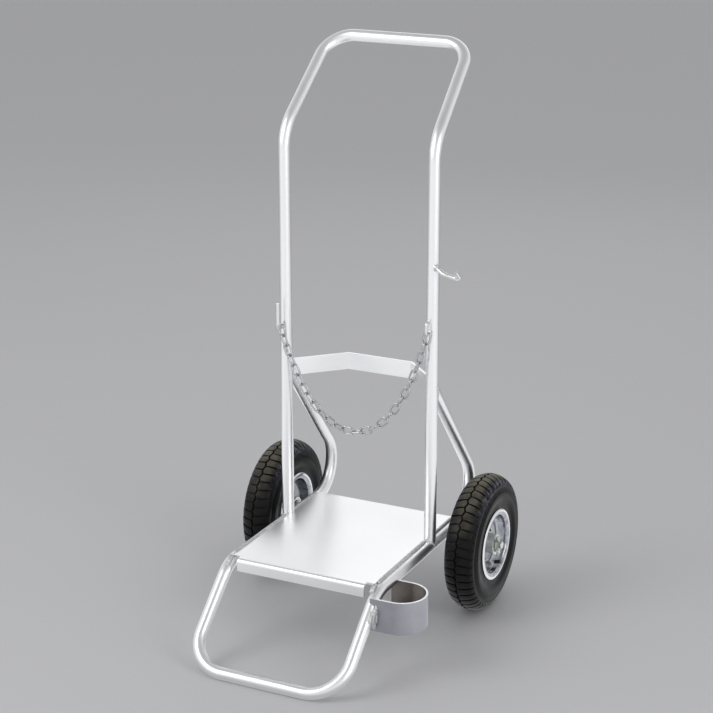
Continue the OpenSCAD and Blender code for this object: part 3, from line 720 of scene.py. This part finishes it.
def tyre_half_section():
    """Half the tyre's section, from the middle groove's edge round the bead to the inside of the tread."""
    crown = (0, TYRE_R - CROWN_R)
    off = CROWN_R - SHOULDER_R
    shoulder = (off * math.sin(CROWN_TURN), TYRE_R - CROWN_R + off * math.cos(CROWN_TURN))
    side = (TYRE_HALF - SIDE_R, (TYRE_R + BEAD_R) / 2)
    outer = [(GROOVE_HALF, TYRE_R)] + arc(crown, CROWN_R, 6.5, 36, 7)
    outer += arc(shoulder, SHOULDER_R, 46, 100.6, 7)
    outer += arc(side, SIDE_R, 63, 78, 4) + [arc_point(side, SIDE_R, 80)] + arc(side, SIDE_R, 88, 122, 5)
    bead_edge = [(0.0312, 0.0840), (0.0312, 0.0705), (0.0300, 0.0668), (0.0272, 0.0646), (0.0245, 0.0646)]
    inner = [(0.0245, 0.0780)] + arc(side, SIDE_R - TREAD_WALL, 124, 64, 5)
    inner += arc(shoulder, SHOULDER_R - TREAD_WALL, 90, 42, 4) + arc(crown, CROWN_R - TREAD_WALL, 28, 6, 3)
    return outer + bead_edge + inner


def on_outside(u, r):
    """Whether a place in the section is on the tyre's outer surface, or on the floor of a groove in it."""
    return abs(u) > SIDE_WALL_U or math.hypot(u, r - TYRE_R + CROWN_R) > CROWN_R - SKIN


def line_of(place):
    """Which line of the pitch a place is on, in whole numbers at the lines and shares between them."""
    return abs(math.atan2(place.y, place.z)) / PITCH * LINES


def choose_faces(piece, wanted):
    """Selects the outer faces for whose middle (u, radius, line of the pitch) wanted is true."""
    bpy.ops.mesh.select_mode(type="FACE")
    mesh = bmesh.from_edit_mesh(piece.data)
    for face in mesh.faces:
        middle = face.calc_center_median()
        u, r = middle.x, math.hypot(middle.y, middle.z)
        face.select_set(on_outside(u, r) and wanted(u, r, line_of(middle)))
    mesh.select_flush_mode()
    bmesh.update_edit_mesh(piece.data)


def choose_points(piece, numbers):
    """Selects the points with these numbers."""
    bpy.ops.mesh.select_mode(type="VERT")
    mesh = bmesh.from_edit_mesh(piece.data)
    for point in mesh.verts:
        point.select_set(point.index in numbers)
    mesh.select_flush_mode()
    bmesh.update_edit_mesh(piece.data)


def points_by_line(piece):
    """The tyre's outer points by distance from the middle plane, whether in the tread, and line."""
    groups = {}
    for point in bmesh.from_edit_mesh(piece.data).verts:
        u, y, z = point.co
        reach = math.hypot(y, z)
        if reach > PATTERN_R and on_outside(u, reach):
            line = round(line_of(point.co))
            groups.setdefault((round(abs(u), 5), reach > CUT_FLOOR_R, line), set()).add(point.index)
    return groups


def in_tread_grooves(u, r, line):
    low, high = CUTS[1 if u > 0 else -1]
    return r > BLOCKS_R and (abs(u) < GROOVE_U or low < line < high)


def in_ribs(u, r, line):
    return RIBS_R[0] < r < RIBS_R[1] and any(low < line < high for low, high in RIB_LINES)


def in_raised_line(u, r, line):
    return abs(u) > RAISED_LINE_U and RAISED_LINE_R[0] < r < RAISED_LINE_R[1]


def at_pitch_ends(u, r, line):
    return line < LINE_SLACK or line > LINES - LINE_SLACK


def drawn_section(points):
    """A new piece in edit mode with one ring of points, each given as (u, radius)."""
    pick_none()
    bpy.ops.mesh.primitive_circle_add(vertices=len(points), radius=1)
    piece = bpy.context.object
    for point, (u, r) in zip(piece.data.vertices, points):
        point.co = (u, 0, r)
    bpy.ops.object.mode_set(mode="EDIT")
    bpy.ops.mesh.select_all(action="SELECT")
    return piece


def moulded_tyre():
    """One tyre: a pitch of the tread modelled with its two cuts, then repeated round the axle."""
    half = tyre_half_section()
    tyre = drawn_section(half + [(-u, r) for u, r in reversed(half)])
    bpy.ops.mesh.spin(steps=LINES, angle=PITCH, center=(0, 0, 0), axis=(1, 0, 0), use_auto_merge=False)
    sense = 1 if sum(point.co.y for point in bmesh.from_edit_mesh(tyre.data).verts) > 0 else -1

    # groove round the middle and the cuts on both sides, down to one floor
    choose_faces(tyre, in_tread_grooves)
    bpy.ops.mesh.extrude_region_move()
    deep = (TYRE_R - TREAD_DEPTH) / TYRE_R
    bpy.ops.transform.resize(value=(1, deep, deep), center_override=(0, 0, 0))

    # short ribs round each shoulder, then the raised line below them
    for wanted, proud in ((in_ribs, RIBS_PROUD), (in_raised_line, RAISED_LINE_PROUD)):
        choose_faces(tyre, wanted)
        bpy.ops.mesh.extrude_region_move()
        bpy.ops.transform.resize(value=(proud, 1, 1), center_override=(0, 0, 0))

    # the walls that the groove and the raised line got across the pitch's two ends
    choose_faces(tyre, at_pitch_ends)
    bpy.ops.mesh.delete(type="FACE")

    # the cuts sweep round and open towards the shoulders, and the groove runs in a zigzag
    for (u, in_tread, line), numbers in points_by_line(tyre).items():
        out = min(1.0, u / SWEEP_U)
        opened = (CUT_OPENING * out if in_tread else RIB_OPENING) * OPENING.get(line, 0)
        change = LINE_SHARES[line] - line / LINES + opened + sense * SWEEP * out ** 2
        choose_points(tyre, numbers)
        bpy.ops.transform.rotate(value=sense * change * PITCH, orient_axis="X", center_override=(0, 0, 0))
        if in_tread and u < BESIDE_GROOVE_U:
            sway = ZIGZAG * ZIGZAG_SHARES[line] * (1 if u < GROOVE_U else 0.5)
            bpy.ops.transform.translate(value=(sway, 0, 0))

    bpy.ops.mesh.select_all(action="SELECT")
    rest = 2 * math.pi - PITCH
    bpy.ops.mesh.spin(steps=PITCHES - 1, dupli=True, angle=rest, center=(0, 0, 0), axis=(1, 0, 0))
    merge_doubles(WHEEL_MERGE)
    bpy.ops.mesh.normals_make_consistent(inside=False)
    round_block_edges(tyre)
    bpy.ops.object.mode_set(mode="OBJECT")
    bpy.ops.object.shade_smooth_by_angle(angle=math.radians(38))
    return tyre


def round_block_edges(tyre):
    """A small radius along the edges of the running blocks."""
    bpy.ops.mesh.select_mode(type="EDGE")
    mesh = bmesh.from_edit_mesh(tyre.data)
    for edge in mesh.edges:
        low = min(math.hypot(point.co.y, point.co.z) for point in edge.verts)
        sharp = len(edge.link_faces) == 2 and edge.calc_face_angle(0) > math.radians(45)
        edge.select_set(sharp and edge.is_convex and low > BLOCKS_R)
    mesh.select_flush_mode()
    bmesh.update_edit_mesh(tyre.data)
    bpy.ops.mesh.bevel(offset=BLOCK_EDGE, segments=2, affect="EDGES")
    bpy.ops.mesh.select_mode(type="VERT")


def rim_profile(disc_u, way):
    """(u, radius) along a rim half's sheet: disc with a raised ring, bowl, bead seat and rolled flange."""
    disc = [(0, HUB_HOLE_R), (0, 0.0410), (0.0006, 0.0422), (0.0022, 0.0440), (0.0028, 0.0458),
            (0.0026, 0.0480), (0.0024, 0.0502), (0.0034, 0.0536)]
    bowl = [(0.0062, 0.0570), (0.0100, 0.0596), (0.0150, 0.0612)]
    seat = [(0.0235, 0.0621), (CURL_U, 0.06225)]
    curl = [arc_point((CURL_U, CURL_R), CURL_BEND, 180 - a) for a in evenly(20, 90, 5)]
    flange = [(0.0330, 0.0700), (0.0331, 0.0725), (0.0327, 0.0746), (0.0319, 0.0759)]
    return [(disc_u + way * u, r) for u, r in disc + bowl] + [(way * u, r) for u, r in seat + curl + flange]


def pressed_rim(disc_u, way):
    """One rim half. Its disc stands at disc_u and its flange is turned to the side that way gives."""
    profile = rim_profile(disc_u, way)
    rim = drawn_section(profile)
    bpy.ops.mesh.select_mode(type="EDGE")
    mesh = bmesh.from_edit_mesh(rim.data)
    for edge in mesh.edges:
        edge.select_set({point.index for point in edge.verts} == {0, len(profile) - 1})
    bmesh.update_edit_mesh(rim.data)
    bpy.ops.mesh.delete(type="EDGE_FACE")
    bpy.ops.mesh.select_mode(type="VERT")
    bpy.ops.mesh.select_all(action="SELECT")
    bpy.ops.mesh.spin(steps=96, angle=2 * math.pi, center=(0, 0, 0), axis=(1, 0, 0))
    merge_doubles(WHEEL_MERGE)
    bpy.ops.mesh.normals_make_consistent(inside=False)
    bpy.ops.object.mode_set(mode="OBJECT")
    wall = rim.modifiers.new("wall", "SOLIDIFY")
    wall.thickness = RIM_SHEET
    wall.offset = 0
    wall.use_even_offset = True
    bpy.ops.object.modifier_apply(modifier="wall")
    edges = rim.modifiers.new("edges", "BEVEL")
    edges.width = RIM_EDGE
    edges.segments = 3
    edges.angle_limit = math.radians(60)
    bpy.ops.object.modifier_apply(modifier="edges")
    bpy.ops.object.shade_smooth_by_angle(angle=math.radians(50))
    return rim


def fitted(piece, name, side, finish, node):
    """A wheel piece put in its place on one side, turned so that its outer side faces away from the cart."""
    pick(piece)
    if side == "left":
        bpy.ops.transform.rotate(value=math.pi, orient_axis="Z", center_override=(0, 0, 0))
    piece.location = ((WHEEL_X if side == "right" else -WHEEL_X), WHEEL_Y, AXLE_Z)
    settle(piece)
    piece.name = name
    piece.data.materials.append(finish)
    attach(piece, f"{side}_wheel")
    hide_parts(node)


right_tyre = moulded_tyre()
left_tyre = twin(right_tyre)
right_outer = pressed_rim(OUTER_DISC_U, way=1)
left_outer = twin(right_outer)
right_inner = pressed_rim(INNER_DISC_U, way=-1)
left_inner = twin(right_inner)
for side, tyre, outer, inner in (("right", right_tyre, right_outer, right_inner),
                                 ("left", left_tyre, left_outer, left_inner)):
    fitted(tyre, f"{side}_moulded_tyre", side, tyre_rubber, f"{side}_tyre")
    fitted(outer, f"{side}_pressed_outer_rim", side, bright_rim, f"{side}_outer_rim")
    fitted(inner, f"{side}_pressed_inner_rim", side, bright_rim, f"{side}_inner_rim")


# ---------------------------------------------------------------- studio

FLOOR_SIZE = 90
FLOOR_TONE = (0.62, 0.62, 0.63)
BACKDROP = (0.96, 0.965, 0.98)
WORLD_LIGHT = 0.52
LIT_WAY = (0.38, -0.92, 0)                          # the floor shines brightest this way from LIT_FROM
LIT_FROM = (-0.4, 0.9, 0)
CART_FOOT = (0, UPRIGHT_Y - FOOT_FRONT, 0)
KEY_POWER, FILL_POWER, BACK_POWER = 48, 22, 6       # watts


def end_tree(tree, seen, plain, reflected, output):
    """Ends a tree with the plain shader, or with the reflected one for rays for which seen is 1."""
    mix = tree.nodes.new("ShaderNodeMixShader")
    tree.links.new(seen, mix.inputs["Fac"])
    tree.links.new(plain, mix.inputs[1])
    tree.links.new(reflected, mix.inputs[2])
    tree.links.new(mix.outputs["Shader"], tree.nodes[output].inputs["Surface"])


def studio_floor():
    """A plain pale floor. The metal sees it glowing bright in front of the cart and greyer behind it, with a
    painted shadow close to it.
    """
    pick_none()
    bpy.ops.mesh.primitive_plane_add(size=FLOOR_SIZE, location=(0, 0, 0))
    floor = bpy.context.object
    floor.name = "studio_floor"
    material, shader, tree = finish_of("pale_floor", FLOOR_TONE, 0.7, metallic=0.0)
    floor.data.materials.append(material)
    toward = tree.nodes.new("ShaderNodeVectorMath")
    toward.operation = "NORMALIZE"
    tree.links.new(coordinates(tree, shift=tuple(-c for c in LIT_FROM)), toward.inputs[0])
    facing = tree.nodes.new("ShaderNodeVectorMath")
    facing.operation = "DOT_PRODUCT"
    facing.inputs[1].default_value = LIT_WAY
    tree.links.new(toward.outputs["Vector"], facing.inputs[0])
    in_front = ranged(tree, facing.outputs["Value"], -0.1, 0.5, 0.38, 1.0)
    # painted shadow: in reflections the floor glows dimmer close to the cart's foot, as if shaded by the cart
    painted_shadow_near_cart = ranged(tree, reach_from(tree, CART_FOOT), 0.15, 0.75, 0.50, 1.0)
    shine = tree.nodes.new("ShaderNodeEmission")
    shine.inputs["Color"].default_value = (*BACKDROP, 1)
    tree.links.new(product(tree, in_front, painted_shadow_near_cart), shine.inputs["Strength"])
    path = tree.nodes.new("ShaderNodeLightPath")
    end_tree(tree, path.outputs["Is Glossy Ray"], shader.outputs["BSDF"], shine.outputs["Emission"],
             "Material Output")


def studio_world():
    """Soft even light. The camera and the metal see a pale room that darkens upwards."""
    world = bpy.data.worlds.new("studio")
    bpy.context.scene.world = world
    world.use_nodes = True
    tree = world.node_tree
    soft = tree.nodes["Background"]
    soft.inputs["Strength"].default_value = WORLD_LIGHT
    room = tree.nodes.new("ShaderNodeBackground")
    for background in (soft, room):
        background.inputs["Color"].default_value = (*BACKDROP, 1)
    tree.links.new(ranged(tree, split(tree)["Z"], 0.35, 0.90, 0.84, 0.46), room.inputs["Strength"])
    path = tree.nodes.new("ShaderNodeLightPath")
    seen = worked_out(tree, "MAXIMUM", path.outputs["Is Camera Ray"], path.outputs["Is Glossy Ray"])
    end_tree(tree, seen, soft.outputs["Background"], room.outputs["Background"], "World Output")


def softbox(name, place, target, size, power):
    bpy.ops.object.light_add(type="AREA", location=place)
    lamp = bpy.context.object
    lamp.name = name
    lamp.data.shape = "RECTANGLE"
    lamp.data.size, lamp.data.size_y = size
    lamp.data.energy = power
    lamp.rotation_mode = "QUATERNION"
    lamp.rotation_quaternion = (Vector(target) - Vector(place)).to_track_quat("-Z", "Y")


studio_floor()
studio_world()
softbox("key", place=(-2.2, -2.6, 3.0), target=(0, 0, 0.4), size=(2.4, 2.4), power=KEY_POWER)
softbox("fill", place=(3.0, -1.2, 1.8), target=(0, 0, 0.5), size=(1.4, 2.4), power=FILL_POWER)
softbox("back", place=(-0.8, 3.4, 2.2), target=(0, 0, 0.5), size=(2.8, 1.4), power=BACK_POWER)

# ---------------------------------------------------------------- camera

CAMERA_PLACE = at(1.6389, -3.3660, 1.7732)
CAMERA_AZIMUTH = math.radians(26.01)
CAMERA_ELEVATION = math.radians(18.01)
LENS = 96.97


def set_camera():
    bpy.ops.object.camera_add(location=CAMERA_PLACE)
    camera = bpy.context.object
    a, e = CAMERA_AZIMUTH, CAMERA_ELEVATION
    back = Vector((math.sin(a) * math.cos(e), -math.cos(a) * math.cos(e), math.sin(e)))
    camera.rotation_mode = "QUATERNION"
    camera.rotation_quaternion = (-back).to_track_quat("-Z", "Y")
    camera.data.lens = LENS
    bpy.context.scene.camera = camera


set_camera()
bpy.context.scene.view_settings.view_transform = "Standard"
